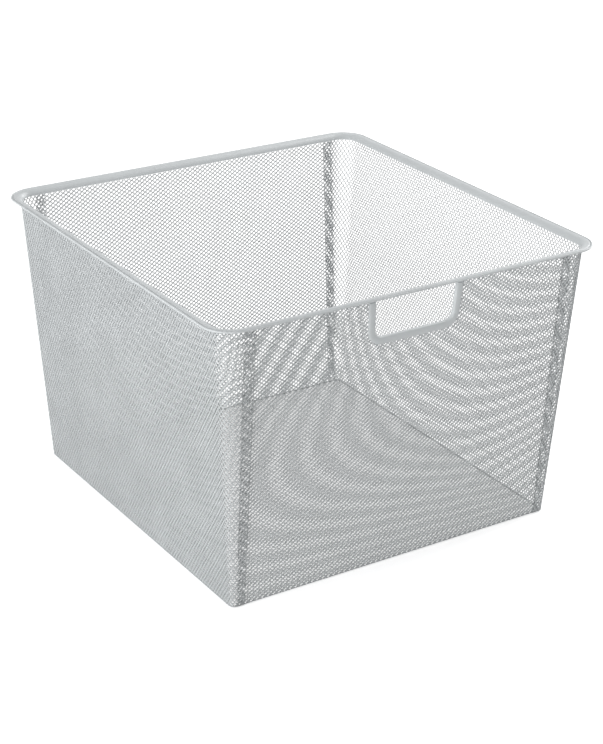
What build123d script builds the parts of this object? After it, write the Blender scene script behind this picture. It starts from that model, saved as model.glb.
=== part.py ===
from build123d import *
import os
from math import asin, atan, cos, degrees, radians, sin, sqrt

# Open-topped steel basket: expanded sheet folded up from the floor, welded
# behind a pressed rim strip, with a surround round the hand notch.
# Width runs along X, depth along Y, the hand notch faces -Y and the floor
# rests on the XY plane, centred on the origin.

# Overall sizes
height = 285.0
rim_width = 419.5
rim_depth = 426.0
base_width = 361.0
base_depth = 367.5
rim_corner_radius = 29.0
base_corner_radius = 5.5

# Rim strip section
strip_thickness = 0.9
lip_radius = 1.2
lip_hold_share = 0.77
web_angle = -75.0
crown_share = 2.0
crown_turn = 60.0
shoulder_radius = 8.0
leg_depth = 6.0

# Expanded sheet
sheet_thickness = 0.9
cell_length = 60.0
cell_width = 42.0
strand_width = 7.6
net_border = 5.0
seat_clearance = 0.25
seam_clearance = 0.05
rim_lap = 0.6

# Lap seams beside the corners
lap_low = 8.0
lap_high = 13.7
overlap_high = 11.0
corner_gap_share = 0.62
corner_cells = 4
corner_flats = 6
corner_run = 4.0

# Hand notch and its surround
notch_width = 88.0
notch_narrowing = 3.0
notch_depth = 36.8
notch_corner_radius = 9.0
trim_width = 7.5
trim_thickness = 1.8
trim_edge_break = 1.0
trim_lip_thickness = 1.1
trim_lip_return = 1.2
trim_top_clearance = 0.3

# Where the rim strip ends, and the walls that stand behind it
crown_radius = crown_share * lip_radius
crown_inset = lip_radius * (1 + lip_hold_share) + crown_radius * sin(radians(crown_turn))
leg_angle = degrees(asin((shoulder_radius - leg_depth) / shoulder_radius))
leg_inset = crown_inset + (shoulder_radius - strip_thickness) * cos(radians(leg_angle))
leg_drop = shoulder_radius - (shoulder_radius - strip_thickness) * sin(radians(leg_angle))
leg_height = height - leg_drop
wall_inset = leg_inset - seat_clearance - sheet_thickness
wall_top = leg_height + rim_lap
x_taper = (rim_width / 2 - wall_inset - base_width / 2) / leg_height
y_taper = (rim_depth / 2 - wall_inset - base_depth / 2) / leg_height
corner_taper = (rim_corner_radius - wall_inset - base_corner_radius) / leg_height


def half_width(z):
    return base_width / 2 + x_taper * z


def half_depth(z):
    return base_depth / 2 + y_taper * z


def corner_radius(z):
    return base_corner_radius + corner_taper * z


def cell_centres(x_pitch, y_pitch, x_reach, low, high):
    centres = []
    rows = range(int(low // (y_pitch / 2)), int(high // (y_pitch / 2)) + 2)
    columns = range(-int(x_reach // x_pitch) - 1, int(x_reach // x_pitch) + 2)
    for row in rows:
        for column in columns:
            centres.append((x_pitch * (column + 0.5 * ((row + 1) % 2)), y_pitch / 2 * row))
    return centres


def floor_cells():
    kept = []
    for x, y in cell_centres(cell_length, cell_width, base_width / 2, -base_depth / 2, base_depth / 2):
        if abs(x) < base_width / 2 - net_border and abs(y) < base_depth / 2 - net_border:
            kept.append((x, y))
    return kept


def cell_points(x_pitch, y_pitch):
    x_half = x_pitch / 2
    y_half = y_pitch / 2
    pitch_to_side = x_half * y_half / sqrt(x_half**2 + y_half**2)
    open_share = 1 - strand_width / 2 / pitch_to_side
    x_open = x_half * open_share
    y_open = y_half * open_share
    return [(x_open, 0), (0, y_open), (-x_open, 0), (0, -y_open)]


# Floor net
with BuildSketch() as floor_gaps:
    with Locations(*floor_cells()):
        Polygon(*cell_points(cell_length, cell_width), align=None)
    Rectangle(base_width - 2 * net_border, base_depth - 2 * net_border, mode=Mode.INTERSECT)

with BuildPart() as mesh_floor:
    with BuildSketch():
        RectangleRounded(base_width, base_depth, base_corner_radius)
        add(floor_gaps.sketch, mode=Mode.SUBTRACT)
    extrude(amount=sheet_thickness)

# Planes of the walls' outer faces, with their own Y up the slope
y_slant = sqrt(1 + y_taper**2)
x_slant = sqrt(1 + x_taper**2)
front_plane = Plane(origin=(0, -base_depth / 2, 0), x_dir=(1, 0, 0), z_dir=(0, -1, -y_taper))
back_plane = Plane(origin=(0, base_depth / 2, 0), x_dir=(-1, 0, 0), z_dir=(0, 1, -y_taper))
right_plane = Plane(origin=(base_width / 2, 0, 0), x_dir=(0, 1, 0), z_dir=(1, 0, -x_taper))

# Front and back sheets end under the laps, side sheets run on into the corners
end_low = base_width / 2 - base_corner_radius - seam_clearance
end_high = half_width(wall_top) - corner_radius(wall_top) - lap_high + overlap_high
side_low = base_depth / 2 - base_corner_radius + sheet_thickness - corner_run
side_high = half_depth(wall_top) - corner_radius(wall_top) + sheet_thickness - corner_run
y_low = sheet_thickness * y_slant
y_high = wall_top * y_slant
x_low = sheet_thickness * x_slant
x_high = wall_top * x_slant


def wall_outline(low_half, high_half, low, high, inset):
    return [
        (inset - low_half, low + inset),
        (low_half - inset, low + inset),
        (high_half - inset, high - inset),
        (inset - high_half, high - inset),
    ]


def wall_cells(x_pitch, y_pitch, low_half, high_half, low, high):
    kept = []
    for x, y in cell_centres(x_pitch, y_pitch, high_half, low, high):
        reach = low_half + (high_half - low_half) * (y - low) / (high - low)
        if abs(x) < reach - net_border and low + net_border < y < high - net_border:
            kept.append((x, y))
    return kept


def net(cells, points, outline, inset_outline):
    with BuildSketch() as gaps:
        with Locations(*cells):
            Polygon(*points, align=None)
        Polygon(*inset_outline, align=None, mode=Mode.INTERSECT)
    with BuildSketch() as sheet:
        Polygon(*outline, align=None)
        add(gaps.sketch, mode=Mode.SUBTRACT)
    return sheet.sketch


# Back net, with the long way of its cells level
level_points = cell_points(cell_length, cell_width)
end_cells = wall_cells(cell_length, cell_width, end_low, end_high, y_low, y_high)
end_outline = wall_outline(end_low, end_high, y_low, y_high, 0)
end_inset = wall_outline(end_low, end_high, y_low, y_high, net_border)
with BuildPart() as mesh_back:
    with BuildSketch(back_plane):
        add(net(end_cells, level_points, end_outline, end_inset))
    extrude(amount=-sheet_thickness)

# Side nets, with the long way of their cells upright
upright_points = cell_points(cell_width, cell_length)
side_cells = wall_cells(cell_width, cell_length, side_low, side_high, x_low, x_high)
side_outline = wall_outline(side_low, side_high, x_low, x_high, 0)
side_inset = wall_outline(side_low, side_high, x_low, x_high, net_border)
with BuildPart() as mesh_right:
    with BuildSketch(right_plane):
        add(net(side_cells, upright_points, side_outline, side_inset))
    extrude(amount=-sheet_thickness)

with BuildPart() as mesh_left:
    mirror(mesh_right.part, about=Plane.YZ)

# Hand notch outline on the front sheet, drawn up the slope
notch_low = (leg_height - notch_depth) * y_slant
notch_high = (leg_height - trim_top_clearance) * y_slant
notch_draft = notch_narrowing / 2 / (notch_high - notch_low)


def notch_outline(grow):
    low_half = notch_width / 2 - notch_narrowing / 2 + grow * (sqrt(1 + notch_draft**2) - notch_draft)
    high_half = low_half + notch_draft * (notch_high - notch_low + grow)
    low = notch_low - grow
    return [(high_half, notch_high), (low_half, low), (-low_half, low), (-high_half, notch_high)]


# Front net in three runs: one beside the notch on each side, one under it
notch_cut = trim_lip_thickness + seam_clearance
split_half = notch_width / 2 + notch_cut
centre_high = notch_low - notch_cut


def run_outline(inset):
    return [
        (split_half + inset, y_low + inset),
        (end_low - inset, y_low + inset),
        (end_high - inset, y_high - inset),
        (split_half + inset, y_high - inset),
    ]


centre_cells = [(x, y) for x, y in end_cells if abs(x) < split_half and y < centre_high - net_border]
run_cells = [(x, y) for x, y in end_cells if x > split_half + net_border / 2]
centre_outline = wall_outline(split_half, split_half, y_low, centre_high, 0)
centre_inset = wall_outline(split_half, split_half, y_low, centre_high, net_border)
with BuildPart() as mesh_front_centre:
    with BuildSketch(front_plane):
        add(net(centre_cells, level_points, centre_outline, centre_inset))
    extrude(amount=-sheet_thickness)

with BuildPart() as mesh_front_right:
    with BuildSketch(front_plane):
        add(net(run_cells, level_points, run_outline(0), run_outline(net_border)))
    extrude(amount=-sheet_thickness)

with BuildPart() as mesh_front_left:
    mirror(mesh_front_right.part, about=Plane.YZ)


# Corner sheet: a cone of flats that opens upwards, a short run of the side
# wall before it and the lap after it
quarter_turn = 90.0


def corner_centre(z):
    radius = corner_radius(z)
    return (half_width(z) - radius, half_depth(z) - radius + sheet_thickness + seam_clearance)


def corner_bend(z, radius):
    x_centre, y_centre = corner_centre(z)
    turns = [radians(quarter_turn * flat / corner_flats) for flat in range(corner_flats + 1)]
    return [(x_centre + radius * cos(turn), y_centre + radius * sin(turn)) for turn in turns]


def corner_outline(z):
    radius = corner_radius(z)
    lap = lap_low + (lap_high - lap_low) * z / wall_top
    lap_end = corner_centre(z)[0] - lap
    outer = corner_bend(z, radius)
    inner = corner_bend(z, radius - sheet_thickness)
    run_end = outer[0][1] - corner_run
    run_corners = [(inner[0][0], run_end), (outer[0][0], run_end)]
    lap_corners = [(lap_end, outer[-1][1]), (lap_end, inner[-1][1])]
    with BuildSketch(Plane.XY.offset(z)) as section:
        Polygon(*outer, *lap_corners, *reversed(inner), *run_corners, align=None)
    return section.sketch


corner_rise = upright_points[1][1]
corner_levels = [wall_top - net_border - cell_length * (cell + 0.5) for cell in range(corner_cells)]
with BuildPart() as corner_back_right:
    add(corner_outline(sheet_thickness))
    add(corner_outline(wall_top))
    loft(ruled=True)
    for level in corner_levels:
        reach = corner_radius(level) * sqrt(0.5) * corner_gap_share
        with BuildSketch(Plane(origin=(*corner_centre(level), level), x_dir=(-1, 1, 0), z_dir=(1, 1, 0))):
            Polygon((reach, 0), (0, corner_rise), (-reach, 0), (0, -corner_rise), align=None)
        extrude(amount=rim_corner_radius, mode=Mode.SUBTRACT)

with BuildPart() as corner_back_left:
    mirror(corner_back_right.part, about=Plane.YZ)

with BuildPart() as corner_front_right:
    mirror(corner_back_right.part, about=Plane.XZ)

with BuildPart() as corner_front_left:
    mirror(corner_back_left.part, about=Plane.XZ)


# Section of the rim strip, inward along X: rolled lip, groove, shoulder and leg
def strip_bend(radius, start, turn):
    centre = (crown_inset, -radius)
    with BuildSketch() as bend:
        with BuildLine():
            outer_arc = CenterArc(centre, radius, start, turn)
            inner_arc = CenterArc(centre, radius - strip_thickness, start, turn)
            Line(outer_arc @ 0, inner_arc @ 0)
            Line(outer_arc @ 1, inner_arc @ 1)
        make_face()
    return bend.sketch


def bend_end(radius, angle):
    turned = radians(angle)
    return (crown_inset + radius * cos(turned), radius * sin(turned) - crown_radius)


web_foot = (
    lip_radius * (1 + cos(radians(web_angle))),
    lip_radius * (sin(radians(web_angle)) - 1),
)
with BuildSketch() as rim_section:
    add(strip_bend(shoulder_radius, leg_angle, quarter_turn - leg_angle))
    add(strip_bend(crown_radius, quarter_turn, crown_turn))
    with Locations((lip_radius, -lip_radius)):
        Circle(lip_radius)
    Polygon(
        bend_end(crown_radius, quarter_turn + crown_turn),
        bend_end(crown_radius - strip_thickness, quarter_turn + crown_turn),
        web_foot,
        align=None,
    )

# Rim strip: each side's straight run, and the corner that follows it
x_straight = rim_width / 2 - rim_corner_radius
y_straight = rim_depth / 2 - rim_corner_radius
front_middle = Vector(0, -rim_depth / 2, height)
right_middle = Vector(rim_width / 2, 0, height)
back_middle = Vector(0, rim_depth / 2, height)
left_middle = Vector(-rim_width / 2, 0, height)
rim_sides = [
    (front_middle, Vector(1, 0, 0), Vector(0, 1, 0), x_straight),
    (right_middle, Vector(0, 1, 0), Vector(-1, 0, 0), y_straight),
    (back_middle, Vector(-1, 0, 0), Vector(0, -1, 0), x_straight),
    (left_middle, Vector(0, -1, 0), Vector(1, 0, 0), y_straight),
]
with BuildPart() as rim:
    for middle, heading, inward, straight in rim_sides:
        with BuildSketch(Plane(origin=middle, x_dir=inward, z_dir=heading)):
            add(rim_section.sketch)
        extrude(amount=straight, both=True)
        run_end = middle + heading * straight
        with BuildSketch(Plane(origin=run_end, x_dir=inward, z_dir=heading)):
            add(rim_section.sketch)
        revolve(axis=Axis(run_end + inward * rim_corner_radius, (0, 0, 1)), revolution_arc=quarter_turn)

# Surround of the hand notch: a face with broken edges, and a lip behind the cut edge
trim_outer = notch_outline(trim_width)
trim_inner = notch_outline(0)
trim_lip = notch_outline(trim_lip_thickness)
with BuildPart() as handle_trim:
    with BuildSketch(front_plane):
        with BuildLine():
            FilletPolyline(*trim_outer, radius=notch_corner_radius + trim_width)
            Line(trim_outer[-1], trim_inner[-1])
            FilletPolyline(*trim_inner, radius=notch_corner_radius)
            Line(trim_inner[0], trim_outer[0])
        make_face()
    extrude(amount=trim_thickness)
    face_edges = handle_trim.faces().sort_by(Axis((0, 0, 0), front_plane.z_dir))[-1].edges()
    chamfer(face_edges.sort_by(Axis.Z)[:-2], trim_edge_break)
    with BuildSketch(front_plane):
        with BuildLine():
            FilletPolyline(*trim_lip, radius=notch_corner_radius + trim_lip_thickness)
            Line(trim_lip[-1], trim_inner[-1])
            FilletPolyline(*trim_inner, radius=notch_corner_radius)
            Line(trim_inner[0], trim_lip[0])
        make_face()
    extrude(amount=-(sheet_thickness + trim_lip_return))

# Named pieces and their files
pieces = {
    "rim": rim,
    "handle_trim": handle_trim,
    "mesh_floor": mesh_floor,
    "mesh_back": mesh_back,
    "mesh_left": mesh_left,
    "mesh_right": mesh_right,
    "mesh_front_left": mesh_front_left,
    "mesh_front_centre": mesh_front_centre,
    "mesh_front_right": mesh_front_right,
    "corner_front_left": corner_front_left,
    "corner_front_right": corner_front_right,
    "corner_back_left": corner_back_left,
    "corner_back_right": corner_back_right,
}
os.makedirs("parts", exist_ok=True)
for piece_name, piece in pieces.items():
    piece.part.label = piece_name
    export_step(piece.part, "parts/" + piece_name + ".step")
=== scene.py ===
from math import asin, atan, cos, degrees, pi, radians, sin

import bpy
import numpy as np
from mathutils import Matrix, Vector


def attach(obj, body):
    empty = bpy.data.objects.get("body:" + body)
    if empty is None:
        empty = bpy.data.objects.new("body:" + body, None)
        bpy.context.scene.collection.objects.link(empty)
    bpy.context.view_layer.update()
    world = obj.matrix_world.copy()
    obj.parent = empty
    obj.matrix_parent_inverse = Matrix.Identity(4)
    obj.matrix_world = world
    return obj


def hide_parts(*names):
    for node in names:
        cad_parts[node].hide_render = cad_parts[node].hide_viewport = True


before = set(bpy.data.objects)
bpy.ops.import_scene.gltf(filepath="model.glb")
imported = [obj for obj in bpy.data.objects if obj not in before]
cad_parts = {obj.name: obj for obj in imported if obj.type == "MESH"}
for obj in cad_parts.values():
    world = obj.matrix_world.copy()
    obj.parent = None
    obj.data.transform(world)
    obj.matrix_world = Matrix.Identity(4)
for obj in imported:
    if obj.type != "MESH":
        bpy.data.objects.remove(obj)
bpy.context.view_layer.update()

MM = 0.001

# ---------------------------------------------------------------- sizes
# Millimetres, as in the part's source
HEIGHT = 285.0
RIM_X, RIM_Y = 419.5 / 2, 426.0 / 2
BASE_X, BASE_Y = 361.0 / 2, 367.5 / 2
RIM_R, BASE_R = 29.0, 5.5
SHEET = 0.9

# Rim strip: the crown's middle lies CROWN_D in from the rim's edge, and the leg hangs from it
LIP_R = 1.2
LIP_SPAN = 1.77 * LIP_R
CROWN_R = 2.4
CROWN_TURN = 60
CROWN_D = LIP_SPAN + CROWN_R * sin(radians(CROWN_TURN))
FLARE_R = 8.0
STRIP = 0.9
LEG_DEPTH = 6.0
LEG_ANGLE = degrees(asin((FLARE_R - LEG_DEPTH) / FLARE_R))
LEG_INSET = CROWN_D + (FLARE_R - STRIP) * cos(radians(LEG_ANGLE))
LEG_Z = HEIGHT - FLARE_R + (FLARE_R - STRIP) * sin(radians(LEG_ANGLE))

# Walls, which stand behind the leg
SEAT_GAP = 0.25
RIM_LAP = 0.6
WALL_INSET = LEG_INSET - SEAT_GAP - SHEET
WALL_TOP = LEG_Z + RIM_LAP
SLOPE = (RIM_X - WALL_INSET - BASE_X) / LEG_Z
R_SLOPE = (RIM_R - WALL_INSET - BASE_R) / LEG_Z
TILT = atan(SLOPE)
UP_Z, UP_OUT = cos(TILT), sin(TILT)

# Lap seams: the side sheets end LAP_X out, over the ends of the front and back sheets
LAP_X = 167.0
LAP_HIGH = 13.7
OVERLAP_HIGH = 11.0
SEAM = 0.05

# Notch and its surround
NOTCH_TOP_HALF = 44.0
NOTCH_LOW_HALF = 42.5
NOTCH_LOW = 242.0
TRIM_TOP_GAP = 0.3
NOTCH_HIGH = LEG_Z - TRIM_TOP_GAP
NOTCH_R = 9.0
TRIM_W = 7.5
TRIM_T = 1.8
TRIM_LIP = 1.1
TRIM_RETURN = 1.2
TRIM_BACK = SHEET + TRIM_RETURN
TRIM_SEAT = 0.02
LEG_STEPS, BEND_STEPS, FOOT_STEPS = 8, 18, 12

# Pitch of the diamonds in the expanded sheet, the long way and the short way
LONG, SHORT = 6.0, 4.26
HALF_PITCH = np.array([LONG / 2, SHORT / 2])
# Strands as stretched on each side: half length, half flat and half height of a hole,
# depth of the metal, and how far the strands lean out of the sheet
STRANDS = {
    "front": (2.2, 0.35, 1.66, 0.62, -0.15),
    "back": (1.9, 0.3, 1.56, 0.4, 0.33),
    "left": (2.08, 0.3, 1.58, 0.6, 0.25),
    "right": (2.05, 0.3, 1.57, 0.6, -0.2),
    "floor": (2.2, 0.35, 1.66, 0.3, -0.15),
}
# A hole is made while its middle lies no further than this past an edge, the long and short way
PAST_LONG, PAST_SHORT = 1.5, 1.0
# What is clamped to an edge shrinks, and faces under this many square millimetres are left out
LEAST_FACE = 0.004
# The corner sheets begin this far before the bend
CORNER_RUN = 4.0
# Length that fills the UV map on the flat walls and floor, and on the sides with their corners
FLAT_MAP, SIDE_MAP = 400, 460
MAP_EDGE = 0.01

# Fold round the floor: its radius, and how deep its two faces lie inside it
FOLD = 0.75
FOLD_OUTER, FOLD_INNER = 0.02, 0.45

# Rim section: groove, bead, and the angle at which the leg ends
GROOVE_R, GROOVE_D = 1.4, 3.4
BEAD_R, BEAD_TOP = 0.98, -0.15
BEAD_NECK = [(2.03, -1.25), (1.96, -1.5)]
LEG_END = 19.0

CORNERS = ((1, 1), (-1, 1), (-1, -1), (1, -1))
RIM_STEPS, FOLD_STEPS, STRAIGHT_STEPS = 28, 8, 24


def half_x(z):
    return BASE_X + SLOPE * z


def half_y(z):
    return BASE_Y + SLOPE * z


def corner_r(z):
    return BASE_R + R_SLOPE * z


# ---------------------------------------------------------------- materials
# The walls of the holes between the strands are painted darker: painted shade inside the holes
HOLE_SHADE_TONE = 0.4
NOISE_LOW, NOISE_HIGH = 0.3, 0.7


def set_inputs(node, **values):
    """Sets a node's inputs by name, with _ for each space in the name."""
    for name, value in values.items():
        node.inputs[name.replace("_", " ")].default_value = value


def add_node(tree, kind, **values):
    node = tree.nodes.new(kind)
    set_inputs(node, **values)
    return node


def coat(name, colour, roughness, mottling, grain):
    """Grey epoxy coat on steel: faint cloudy colour, an orange-peel skin and uneven gloss."""
    material = bpy.data.materials.new(name)
    material.use_nodes = True
    tree = material.node_tree
    link = tree.links.new
    shader = tree.nodes["Principled BSDF"]
    set_inputs(shader, Metallic=0.0, Specular_IOR_Level=0.5)
    place = add_node(tree, "ShaderNodeTexCoord").outputs["Object"]

    cloud = add_node(tree, "ShaderNodeTexNoise", Scale=22.0, Detail=5.0)
    ramp = add_node(tree, "ShaderNodeValToRGB")
    dark, light = ramp.color_ramp.elements
    dark.position, light.position = NOISE_LOW, NOISE_HIGH
    dark.color = (*[c * (1 - mottling) for c in colour], 1)
    light.color = (*[min(1, c * (1 + mottling)) for c in colour], 1)
    link(place, cloud.inputs["Vector"])
    link(cloud.outputs["Fac"], ramp.inputs["Fac"])

    # Marked faces are scaled down in colour: painted shade on the walls of the holes
    hole_shade = add_node(tree, "ShaderNodeAttribute")
    hole_shade.attribute_name = "hole_shade"
    shade = add_node(tree, "ShaderNodeMapRange", To_Min=1.0, To_Max=HOLE_SHADE_TONE)
    link(hole_shade.outputs["Fac"], shade.inputs["Value"])
    tone = add_node(tree, "ShaderNodeVectorMath")
    tone.operation = "SCALE"
    link(ramp.outputs["Color"], tone.inputs[0])
    link(shade.outputs["Result"], tone.inputs["Scale"])
    link(tone.outputs["Vector"], shader.inputs["Base Color"])

    fine = add_node(tree, "ShaderNodeTexNoise", Scale=grain, Detail=2.0)
    link(place, fine.inputs["Vector"])
    gloss = add_node(
        tree,
        "ShaderNodeMapRange",
        From_Min=NOISE_LOW,
        From_Max=NOISE_HIGH,
        To_Min=roughness - 0.06,
        To_Max=roughness + 0.08,
    )
    link(fine.outputs["Fac"], gloss.inputs["Value"])
    link(gloss.outputs["Result"], shader.inputs["Roughness"])
    bump = add_node(tree, "ShaderNodeBump", Strength=0.12, Distance=0.00008)
    link(fine.outputs["Fac"], bump.inputs["Height"])
    link(bump.outputs["Normal"], shader.inputs["Normal"])
    return material


# Sheet and strip carry the same grey paint; the strip's copy is painted lighter, as painted light
# on the rim and the notch surround
SHEET_COAT = coat("sheet_coat", (0.525, 0.548, 0.558), 0.42, 0.05, 900.0)
STRIP_COAT = coat("strip_coat", (0.56, 0.586, 0.596), 0.36, 0.04, 700.0)


# ---------------------------------------------------------------- expanded sheet
def make_piece(name, points, groups, material, nodes, uv=None, smooth=False, hole_shade=()):
    """One object from groups of faces; the groups numbered in the last argument are painted
    darker, as painted shade inside the holes.
    """
    in_hole_shade = [np.full(len(g), float(k in hole_shade)) for k, g in enumerate(groups) if len(g)]
    groups = [np.asarray(g, dtype=np.int64) for g in groups if len(g)]
    sizes = np.concatenate([np.full(len(g), g.shape[1]) for g in groups])
    corners = np.concatenate([g.ravel() for g in groups])
    starts = np.concatenate(([0], np.cumsum(sizes)[:-1]))
    mesh = bpy.data.meshes.new(name)
    mesh.vertices.add(len(points))
    mesh.vertices.foreach_set("co", (np.asarray(points) * MM).astype(np.float32).ravel())
    mesh.loops.add(len(corners))
    mesh.loops.foreach_set("vertex_index", corners.astype(np.int32))
    mesh.polygons.add(len(sizes))
    mesh.polygons.foreach_set("loop_start", starts.astype(np.int32))
    if uv is not None:
        layer = mesh.uv_layers.new(name="OFBake")
        layer.data.foreach_set("uv", uv[corners].astype(np.float32).ravel())
    hole_shade_marks = mesh.attributes.new("hole_shade", "FLOAT", "FACE")
    hole_shade_marks.data.foreach_set("value", np.concatenate(in_hole_shade))
    mesh.update(calc_edges=True)
    mesh.validate()
    mesh.polygons.foreach_set("use_smooth", [smooth] * len(mesh.polygons))
    mesh.materials.append(material)
    piece = bpy.data.objects.new(name, mesh)
    bpy.context.collection.objects.link(piece)
    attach(piece, "root")
    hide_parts(*nodes)
    return piece


# With a lean above 0, the upper corners of a hole go in and the lower ones come out
HOLE_LIFT = np.array([0, -1, -1, 0, 1, 1])
# The four knots of metal round a hole, and which group of faces is the walls of the holes
KNOTS = np.array([(1, 0), (0, 1), (-1, 0), (0, -1)])
HOLE_WALLS = 2


def cells(reach_p, low_q, high_q):
    """Lattice numbers of the holes, from -reach_p to reach_p the long way."""
    i = np.arange(-int(reach_p / (LONG / 2)) - 1, int(reach_p / (LONG / 2)) + 2)
    j = np.arange(int(low_q / (SHORT / 2)) - 1, int(high_q / (SHORT / 2)) + 2)
    grid = np.stack(np.meshgrid(i, j, indexing="ij"), axis=-1).reshape(-1, 2)
    return grid[(grid.sum(axis=1) % 2) == 0]


def face_areas(points, faces):
    corners = points[faces]
    arms = corners - corners.mean(axis=1, keepdims=True)
    crossed = np.cross(arms, np.roll(arms, -1, axis=1))
    return np.linalg.norm(crossed, axis=2).sum(axis=1) / 2


def expanded(name, holes, wall, clamp, place, nodes):
    """One run of expanded sheet: every hole, the metal round it and its leaning strands."""
    tip, top_x, top_y, metal, lean = STRANDS[wall]
    upright = wall in ("left", "right")
    hole = np.array(
        [(tip, 0), (top_x, top_y), (-top_x, top_y)]
        + [(-tip, 0), (-top_x, -top_y), (top_x, -top_y)]
    )
    count, sides = len(holes), len(hole)
    knots = (holes[:, None, :] + KNOTS[None]).reshape(-1, 2)
    unique, where = np.unique(knots, axis=0, return_inverse=True)
    east, north, west, south = where.reshape(count, len(KNOTS)).T
    knot_pq = unique * HALF_PITCH
    centre = holes * HALF_PITCH
    edge_pq = (centre[:, None, :] + hole[None]).reshape(-1, 2)
    pq = np.concatenate([knot_pq, edge_pq])
    lift = np.concatenate([np.zeros(len(knot_pq)), np.tile(HOLE_LIFT, count) * lean])
    uv = clamp(np.stack([-pq[:, 1], pq[:, 0]], axis=1) if upright else pq)
    points = np.concatenate([place(uv, lift + metal / 2), place(uv, lift - metal / 2)])

    # Faces on the front; the same ones on the back stand `total` points later
    total = len(pq)
    first = len(knot_pq) + np.arange(count) * sides
    edge = [first + k for k in range(sides)]
    e, ne, nw, w, sw, se = edge
    quads = np.concatenate(
        [
            np.stack([east, north, ne, e], axis=1),
            np.stack([north, west, w, nw], axis=1),
            np.stack([west, south, sw, w], axis=1),
            np.stack([south, east, e, se], axis=1),
        ]
    )
    tris = np.concatenate(
        [np.stack([north, nw, ne], axis=1), np.stack([south, se, sw], axis=1)]
    )
    walls = np.concatenate(
        [
            np.stack([a, b, b + total, a + total], axis=1)
            for a, b in zip(edge, edge[1:] + edge[:1])
        ]
    )
    groups = [quads, quads[:, ::-1] + total, walls, tris, tris[:, ::-1] + total]
    kept = [group[face_areas(points, group) > LEAST_FACE] for group in groups]

    used = np.unique(np.concatenate([g.ravel() for g in kept]))
    renumber = np.zeros(len(points), dtype=np.int64)
    renumber[used] = np.arange(len(used))
    flat = np.concatenate([uv, uv])[used]
    flat = (flat - flat.min(axis=0)) / (SIDE_MAP if upright else FLAT_MAP)
    flat = flat * (1 - 2 * MAP_EDGE) + MAP_EDGE
    groups = [renumber[g] for g in kept]
    return make_piece(
        name,
        points[used],
        groups,
        SHEET_COAT,
        nodes,
        uv=flat,
        # The walls of the holes are painted darker, as painted shade
        hole_shade=(HOLE_WALLS,),
    )


# Where a point lies that is u along the wall, v up its slope and n out from mid-sheet
def on_front(uv, n):
    off = n - SHEET / 2
    out = BASE_Y + uv[:, 1] * UP_OUT + off * UP_Z
    return np.stack([uv[:, 0], -out, uv[:, 1] * UP_Z - off * UP_OUT], axis=1)


def on_back(uv, n):
    return on_front(uv, n) * np.array([-1, -1, 1])


def on_floor(uv, n):
    return np.stack([uv[:, 0], uv[:, 1], SHEET / 2 + n], axis=1)


def tangent(v):
    """How far along a side wall its corner begins to bend."""
    z = v * UP_Z
    return half_y(z) + SHEET + SEAM - corner_r(z)


def sheet_reach(v):
    """Half the run of a side sheet: its wall, one corner and one lap."""
    z = v * UP_Z
    middle = corner_r(z) - SHEET / 2
    return tangent(v) + middle * pi / 2 + (half_x(z) - corner_r(z) - LAP_X)


def on_right(uv, n):
    """On the right wall, round its corners and along its laps."""
    u, v = uv[:, 0], uv[:, 1]
    side = np.where(u < 0, -1.0, 1.0)
    z = v * UP_Z
    r = corner_r(z)
    start = tangent(v)
    past = np.maximum(np.abs(u) - start, 0)
    middle = r - SHEET / 2
    angle = np.minimum(past / middle, pi / 2)
    flat = np.maximum(past - middle * pi / 2, 0)
    x = half_x(z) - r + (middle + n) * np.cos(angle) - flat
    y = np.minimum(np.abs(u), start) + (middle + n) * np.sin(angle)
    return np.stack([x, side * y, z - (n - SHEET / 2) * UP_OUT], axis=1)


def on_left(uv, n):
    return on_right(uv, n) * np.array([-1, -1, 1])


# Edges of the sheets, to which their points are clamped
WALL_V0, WALL_V1 = FOLD / UP_Z, WALL_TOP / UP_Z
END_LOW = BASE_X - BASE_R - SEAM
END_HIGH = half_x(WALL_TOP) - corner_r(WALL_TOP) - LAP_HIGH + OVERLAP_HIGH
FLOOR_X, FLOOR_Y = BASE_X - FOLD, BASE_Y - FOLD
CUT_HALF = NOTCH_TOP_HALF + TRIM_LIP + SEAM
CUT_V = (NOTCH_LOW - TRIM_LIP - SEAM) / UP_Z


def end_reach(v):
    return END_LOW + (END_HIGH - END_LOW) * np.clip(v / WALL_V1, 0, 1)


def clamp_wall(uv, reach_at):
    v = np.clip(uv[:, 1], WALL_V0, WALL_V1)
    reach = reach_at(v)
    return np.stack([np.clip(uv[:, 0], -reach, reach), v], axis=1)


def clamp_end(uv):
    return clamp_wall(uv, end_reach)


def clamp_side(uv):
    return clamp_wall(uv, sheet_reach)


def clamp_floor(uv):
    held = np.clip(uv, (-FLOOR_X, -FLOOR_Y), (FLOOR_X, FLOOR_Y))
    r = BASE_R - FOLD
    centre = np.array([FLOOR_X - r, FLOOR_Y - r])
    over = np.maximum(np.abs(held) - centre, 0)
    length = np.maximum(np.linalg.norm(over, axis=1, keepdims=True), 1e-9)
    pull = np.minimum(r / length, 1)
    inside = np.minimum(np.abs(held), centre)
    return np.sign(held) * (inside + over * pull)


def clamp_beside(uv):
    held = clamp_end(uv)
    above = held[:, 1] > CUT_V
    side = np.where(held[:, 0] < 0, -1.0, 1.0)
    beside = side * np.maximum(np.abs(held[:, 0]), CUT_HALF)
    held[:, 0] = np.where(above, beside, held[:, 0])
    return held


def clamp_under(uv):
    held = clamp_end(uv)
    held[:, 1] = np.minimum(held[:, 1], CUT_V)
    return held


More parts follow.
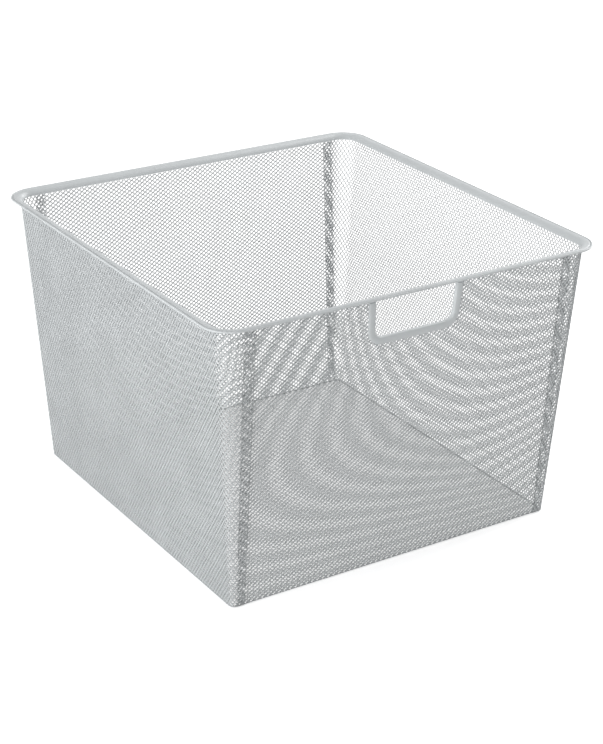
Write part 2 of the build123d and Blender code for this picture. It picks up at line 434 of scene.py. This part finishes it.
# Front and back, with the diamonds lying flat
level = cells(END_HIGH + LONG, WALL_V0, WALL_V1)
level_uv = level * HALF_PITCH
inside = (
    (np.abs(level_uv[:, 0]) < end_reach(level_uv[:, 1]) + PAST_LONG)
    & (level_uv[:, 1] > WALL_V0 - PAST_SHORT)
    & (level_uv[:, 1] < WALL_V1 + PAST_SHORT)
)
level, level_uv = level[inside], level_uv[inside]
low_rows = level_uv[:, 1] < WALL_V1 / 2
under = (np.abs(level_uv[:, 0]) < CUT_HALF) & (level_uv[:, 1] < CUT_V + PAST_SHORT)
beside_left = level_uv[:, 0] <= -CUT_HALF
beside_right = level_uv[:, 0] >= CUT_HALF
for half, chosen in (("low", low_rows), ("high", ~low_rows)):
    expanded(f"back_sheet_{half}", level[chosen], "back", clamp_end, on_back, ["mesh_back"])
for third, chosen, clamp in (
    ("centre", under, clamp_under),
    ("left", beside_left, clamp_beside),
    ("right", beside_right, clamp_beside),
):
    expanded(
        f"front_sheet_{third}", level[chosen], "front", clamp, on_front, [f"mesh_front_{third}"]
    )

# Left and right, with the diamonds standing upright, and the corners that belong to them
upright = cells(WALL_V1 + LONG, -sheet_reach(WALL_V1) - LONG, sheet_reach(WALL_V1) + LONG)
upright_uv = (upright * HALF_PITCH)[:, ::-1] * np.array([-1, 1])
inside = (
    (np.abs(upright_uv[:, 0]) < sheet_reach(upright_uv[:, 1]) + PAST_SHORT)
    & (upright_uv[:, 1] > WALL_V0 - PAST_LONG)
    & (upright_uv[:, 1] < WALL_V1 + PAST_LONG)
)
upright, upright_uv = upright[inside], upright_uv[inside]
flat_run = np.abs(upright_uv[:, 0]) <= tangent(upright_uv[:, 1]) - CORNER_RUN
for wall, place, rear in (("left", on_left, -1), ("right", on_right, 1)):
    towards_back = upright_uv[:, 0] * rear > 0
    for end, chosen in (("front", ~towards_back), ("back", towards_back)):
        for piece, node, run in (
            (f"{wall}_sheet_{end}", f"mesh_{wall}", flat_run),
            (f"corner_sheet_{end}_{wall}", f"corner_{end}_{wall}", ~flat_run),
        ):
            expanded(piece, upright[run & chosen], wall, clamp_side, place, [node])

# Floor
floor_cells = cells(FLOOR_X, -FLOOR_Y, FLOOR_Y)
floor_uv = floor_cells * HALF_PITCH
inside = (np.abs(floor_uv[:, 0]) < FLOOR_X + PAST_LONG) & (
    np.abs(floor_uv[:, 1]) < FLOOR_Y + PAST_SHORT
)
floor_cells, floor_uv = floor_cells[inside], floor_uv[inside]
front_half = floor_uv[:, 1] < 0
for half, chosen in (("front", front_half), ("back", ~front_half)):
    expanded(
        f"floor_sheet_{half}", floor_cells[chosen], "floor", clamp_floor, on_floor, ["mesh_floor"]
    )


# ---------------------------------------------------------------- swept strips
def arc(centre, radius, start, end, steps):
    turn = np.radians(np.linspace(start, end, steps + 1))
    return [(centre[0] + radius * cos(a), centre[1] + radius * sin(a)) for a in turn]


def ring(name, section, reach_x, reach_y, radius, top, material, nodes, steps):
    """A closed section (inset, height) swept round a rounded rectangle."""
    centres = [np.array([sx * (reach_x - radius), sy * (reach_y - radius)]) for sx, sy in CORNERS]
    path = []
    for k, centre in enumerate(centres):
        for step in range(steps + 1):
            turn = radians(90 * k + 90 * step / steps)
            out = np.array([cos(turn), sin(turn)])
            path.append((centre + out * radius, out))
        last, out = path[-1]
        following = centres[(k + 1) % len(centres)] + out * radius
        for step in range(1, STRAIGHT_STEPS):
            path.append((last + (following - last) * step / STRAIGHT_STEPS, out))
    points = []
    for point, out in path:
        for inset, rise in section:
            points.append((*(point - out * inset), top + rise))
    count, size = len(path), len(section)
    k, s = np.meshgrid(np.arange(count), np.arange(size), indexing="ij")
    nk, ns = (k + 1) % count, (s + 1) % size
    quads = np.stack([k * size + s, nk * size + s, nk * size + ns, k * size + ns], axis=-1)
    quads = quads.reshape(-1, 4)
    return make_piece(name, points, [quads], material, nodes, smooth=True)


rim_section = (
    arc((CROWN_D, -FLARE_R), FLARE_R, LEG_END, 90, 16)
    + arc((GROOVE_D, -GROOVE_R), GROOVE_R, 90, 160, 8)
    + BEAD_NECK
    + arc((BEAD_R, BEAD_TOP - BEAD_R), BEAD_R, -8, 285, 22)
    + arc((CROWN_D, -CROWN_R), CROWN_R - STRIP, 150, 90, 5)
    + arc((CROWN_D, -FLARE_R), FLARE_R - STRIP, 90, LEG_END, 14)[1:]
)
rim = ring(
    "rim_strip",
    rim_section,
    RIM_X,
    RIM_Y,
    RIM_R,
    HEIGHT,
    STRIP_COAT,
    ["rim"],
    RIM_STEPS,
)

fold_section = (
    arc((FOLD, FOLD), FOLD - FOLD_OUTER, 270, 178, 8)
    + arc((FOLD, FOLD), FOLD - FOLD_INNER, 178, 270, 6)
)
fold = ring(
    "base_fold",
    fold_section,
    BASE_X,
    BASE_Y,
    BASE_R,
    0,
    SHEET_COAT,
    ["mesh_floor"],
    FOLD_STEPS,
)

# Surround of the notch: a rounded band with a lip through the cut edge, as (across, out)
band = np.array(
    [(TRIM_LIP, -TRIM_BACK), (0.3, -TRIM_BACK), (0.06, -TRIM_BACK + 0.12)]
    + [(0.0, -TRIM_BACK + 0.4), (0.0, -0.4), (0.0, 0.3), (0.12, 0.8), (0.45, 1.2), (1.0, 1.5)]
    + [(1.8, 1.7), (2.8, 1.79), (TRIM_W / 2, TRIM_T), (4.8, 1.77), (5.7, 1.66), (6.4, 1.46)]
    + [(6.95, 1.12), (7.3, 0.7), (7.46, 0.35), (TRIM_W, TRIM_SEAT)]
    + [(4.5, TRIM_SEAT), (TRIM_LIP, TRIM_SEAT)]
)

# Its path, as (point, way out): down the right leg, round the bend, along the foot and back up
draft = (NOTCH_TOP_HALF - NOTCH_LOW_HALF) / ((NOTCH_HIGH - NOTCH_LOW) / UP_Z)
lean_angle = atan(draft)
bottom_v, top_v = NOTCH_LOW / UP_Z, NOTCH_HIGH / UP_Z
bend_u = NOTCH_LOW_HALF + draft * NOTCH_R - NOTCH_R / cos(lean_angle)
bend = np.array([bend_u, bottom_v + NOTCH_R])
leg_out = np.array([cos(lean_angle), -sin(lean_angle)])
leg_up = np.array([sin(lean_angle), cos(lean_angle)])
leg_end = bend + leg_out * NOTCH_R
leg_length = (top_v - leg_end[1]) / cos(lean_angle)
leg, foot = [], []
for step in range(LEG_STEPS):
    leg.append((leg_end + leg_up * leg_length * (1 - step / LEG_STEPS), leg_out))
for step in range(BEND_STEPS + 1):
    turn = -lean_angle + (-pi / 2 + lean_angle) * step / BEND_STEPS
    out = np.array([cos(turn), sin(turn)])
    leg.append((bend + out * NOTCH_R, out))
for step in range(1, FOOT_STEPS):
    across = bend_u * (1 - 2 * (step / FOOT_STEPS))
    foot.append((np.array([across, bottom_v]), np.array([0.0, -1.0])))
mirror = np.array([-1, 1])
path = leg + foot + [(point * mirror, out * mirror) for point, out in reversed(leg)]

flat = np.array([point + out * s for point, out in path for s in band[:, 0]])
points = on_front(flat, np.tile(band[:, 1] + SHEET / 2, len(path)))
count, size = len(path), len(band)
k, s = np.meshgrid(np.arange(count - 1), np.arange(size), indexing="ij")
nk, ns = k + 1, (s + 1) % size
quads = np.stack([k * size + s, k * size + ns, nk * size + ns, nk * size + s], axis=-1)
quads = quads.reshape(-1, 4)
caps = [np.arange(size)[None, ::-1], (np.arange(size) + (count - 1) * size)[None]]
trim = make_piece(
    "notch_surround", points, [quads] + caps, STRIP_COAT, ["handle_trim"], smooth=True
)

# Edges that turn by more than this many degrees stay sharp
for piece, limit in ((rim, 40), (fold, 50), (trim, 50)):
    piece.data.set_sharp_from_angle(angle=radians(limit))


# ---------------------------------------------------------------- surroundings, in metres
GROUND_HALF = 3
PAPER_GLOW = 0.5
FILL = 0.5
LAMP_AIM = (0, 0, 0.2)


def any_ray(tree, *kinds):
    """A socket that is 1 for a ray of any of these kinds, and otherwise 0."""
    rays = add_node(tree, "ShaderNodeLightPath").outputs
    found = rays[kinds[0]]
    for kind in kinds[1:]:
        either = add_node(tree, "ShaderNodeMath")
        either.operation = "MAXIMUM"
        tree.links.new(found, either.inputs[0])
        tree.links.new(rays[kind], either.inputs[1])
        found = either.outputs[0]
    return found


# White paper that catches the basket's shadow and glows towards the camera
ground_mesh = bpy.data.meshes.new("ground")
ground_mesh.from_pydata(
    [(-GROUND_HALF, -GROUND_HALF, 0), (GROUND_HALF, -GROUND_HALF, 0)]
    + [(GROUND_HALF, GROUND_HALF, 0), (-GROUND_HALF, GROUND_HALF, 0)],
    [],
    [(0, 1, 2, 3)],
)
ground = bpy.data.objects.new("ground", ground_mesh)
bpy.context.collection.objects.link(ground)
paper = bpy.data.materials.new("paper")
paper.use_nodes = True
tree = paper.node_tree
shader = tree.nodes["Principled BSDF"]
set_inputs(shader, Base_Color=(0.9, 0.9, 0.9, 1), Roughness=1.0, Specular_IOR_Level=0.0)
glow = add_node(tree, "ShaderNodeEmission", Color=(1, 1, 1, 1))
scaled = add_node(tree, "ShaderNodeMath")
scaled.operation = "MULTIPLY"
scaled.inputs[1].default_value = PAPER_GLOW
tree.links.new(any_ray(tree, "Is Camera Ray", "Is Transmission Ray"), scaled.inputs[0])
tree.links.new(scaled.outputs[0], glow.inputs["Strength"])
both = add_node(tree, "ShaderNodeAddShader")
tree.links.new(shader.outputs[0], both.inputs[0])
tree.links.new(glow.outputs[0], both.inputs[1])
tree.links.new(both.outputs[0], tree.nodes["Material Output"].inputs["Surface"])
ground_mesh.materials.append(paper)

# White behind everything, and a softer fill on the basket itself
world = bpy.data.worlds.new("studio")
bpy.context.scene.world = world
world.use_nodes = True
tree = world.node_tree
backdrop = tree.nodes["Background"]
set_inputs(backdrop, Color=(1, 1, 1, 1))
strength = add_node(tree, "ShaderNodeMapRange", To_Min=FILL, To_Max=1.0)
white_to = any_ray(tree, "Is Camera Ray", "Is Glossy Ray", "Is Transmission Ray")
tree.links.new(white_to, strength.inputs["Value"])
tree.links.new(strength.outputs["Result"], backdrop.inputs["Strength"])


def lamp(name, place, size, power):
    data = bpy.data.lights.new(name, "AREA")
    data.shape = "RECTANGLE"
    data.size, data.size_y = size
    data.energy = power
    made = bpy.data.objects.new(name, data)
    bpy.context.collection.objects.link(made)
    made.location = place
    made.rotation_mode = "QUATERNION"
    made.rotation_quaternion = (Vector(LAMP_AIM) - Vector(place)).to_track_quat("-Z", "Y")
    made.visible_camera = False


lamp("left_softbox", (-2.2, -0.4, 0.5), (1.6, 0.8), 37)
lamp("top_softbox", (1.95, 0.5, 1.6), (1.4, 1.4), 43)

# ---------------------------------------------------------------- camera
# Fitted to the photograph: angles, then millimetres, then the focal length in pixels
AZ, EL, ROLL = radians(-32.954), radians(24.264), radians(0.724)
DISTANCE, AIM_Z = 1930.64, 142.5
SHIFT_X, SHIFT_Y = -8.942, 18.506
FOCAL_PIXELS, PIXELS_HIGH = 1941.64, 744
SENSOR = 36
back = Vector((sin(AZ) * cos(EL), -cos(AZ) * cos(EL), sin(EL)))
right = Vector((cos(AZ), sin(AZ), 0))
up = back.cross(right)
cam_right = right * cos(ROLL) + up * sin(ROLL)
cam_up = up * cos(ROLL) - right * sin(ROLL)
eye = Vector((0, 0, AIM_Z)) + back * DISTANCE - cam_right * SHIFT_X - cam_up * SHIFT_Y
lens = bpy.data.cameras.new("camera")
lens.lens = FOCAL_PIXELS * SENSOR / PIXELS_HIGH
lens.sensor_width = SENSOR
lens.clip_start, lens.clip_end = 0.05, 60
camera = bpy.data.objects.new("camera", lens)
bpy.context.collection.objects.link(camera)
camera.matrix_world = Matrix(
    (
        (cam_right.x, cam_up.x, back.x, eye.x * MM),
        (cam_right.y, cam_up.y, back.y, eye.y * MM),
        (cam_right.z, cam_up.z, back.z, eye.z * MM),
        (0, 0, 0, 1),
    )
)
bpy.context.scene.camera = camera
bpy.context.scene.view_settings.view_transform = "Standard"
bpy.context.scene.cycles.filter_width = 1.75
